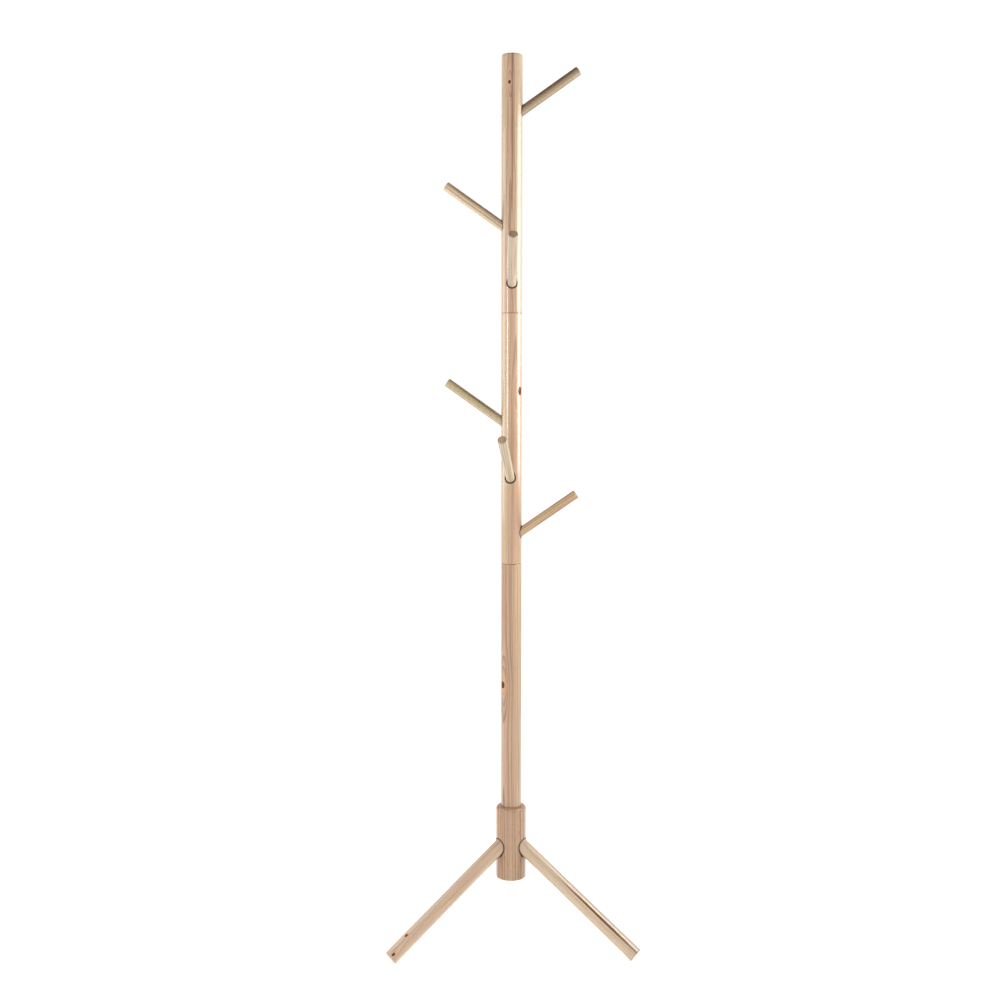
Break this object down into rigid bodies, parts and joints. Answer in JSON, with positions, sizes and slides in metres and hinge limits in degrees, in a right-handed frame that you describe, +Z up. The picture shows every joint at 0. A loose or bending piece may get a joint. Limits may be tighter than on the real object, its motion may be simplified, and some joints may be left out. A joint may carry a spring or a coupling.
{
  "type": "standing coat rack",
  "caption": "Free-standing coat rack: a round wooden post in screwed sections on a hub with splayed legs, with angled pegs winding down its upper part.",
  "frame": {"origin": "on the post's axis at floor level, under the centre of the hub", "axes": "+Z up along the post; the front two legs splay towards -Y at 30 degrees each side of it, the third leg points to +Y, and +X is to the right seen from the front"},
  "size_m": [0.4944, 0.4319, 1.75],
  "materials": {
    "post_pine": "clear satin lacquer over striped pine, pinkish tan with darker growth lines and small knots",
    "hub_pine": "clear satin lacquer over pine, orange-tan on one side and greyer in front",
    "leg_pine": "clear satin lacquer over pale pine with a few knots and brown streaks",
    "peg_pine": "clear satin lacquer over straight-grained yellow-tan wood",
    "zinc_steel": "bright zinc plating",
    "brass": "machined brass"
  },
  "bodies": {
    "root": {"post_upper": "post_pine", "post_middle": "post_pine", "post_lower": "post_pine", "hub": "hub_pine", "leg_front_left": "leg_pine", "leg_front_right": "leg_pine", "leg_rear": "leg_pine", "peg_upper_right": "peg_pine", "peg_upper_rear": "peg_pine", "peg_upper_left": "peg_pine", "peg_upper_front": "peg_pine", "peg_middle_rear": "peg_pine", "peg_middle_left": "peg_pine", "peg_middle_front": "peg_pine", "peg_middle_right": "peg_pine", "hanger_bolt_post_upper": "zinc_steel", "hanger_bolt_post_middle": "zinc_steel", "hanger_bolt_post_lower": "zinc_steel", "hanger_bolt_leg_front_left": "zinc_steel", "hanger_bolt_leg_front_right": "zinc_steel", "hanger_bolt_leg_rear": "zinc_steel", "hanger_bolt_peg_upper_right": "zinc_steel", "hanger_bolt_peg_upper_rear": "zinc_steel", "hanger_bolt_peg_upper_left": "zinc_steel", "hanger_bolt_peg_upper_front": "zinc_steel", "hanger_bolt_peg_middle_rear": "zinc_steel", "hanger_bolt_peg_middle_left": "zinc_steel", "hanger_bolt_peg_middle_front": "zinc_steel", "hanger_bolt_peg_middle_right": "zinc_steel", "threaded_insert_post_middle": "brass", "threaded_insert_post_lower": "brass", "threaded_insert_hub_top": "brass", "threaded_insert_leg_front_left": "brass", "threaded_insert_leg_front_right": "brass", "threaded_insert_leg_rear": "brass", "threaded_insert_peg_upper_right": "brass", "threaded_insert_peg_upper_rear": "brass", "threaded_insert_peg_upper_left": "brass", "threaded_insert_peg_upper_front": "brass", "threaded_insert_peg_middle_rear": "brass", "threaded_insert_peg_middle_left": "brass", "threaded_insert_peg_middle_front": "brass", "threaded_insert_peg_middle_right": "brass"}
  },
  "joints": []
}
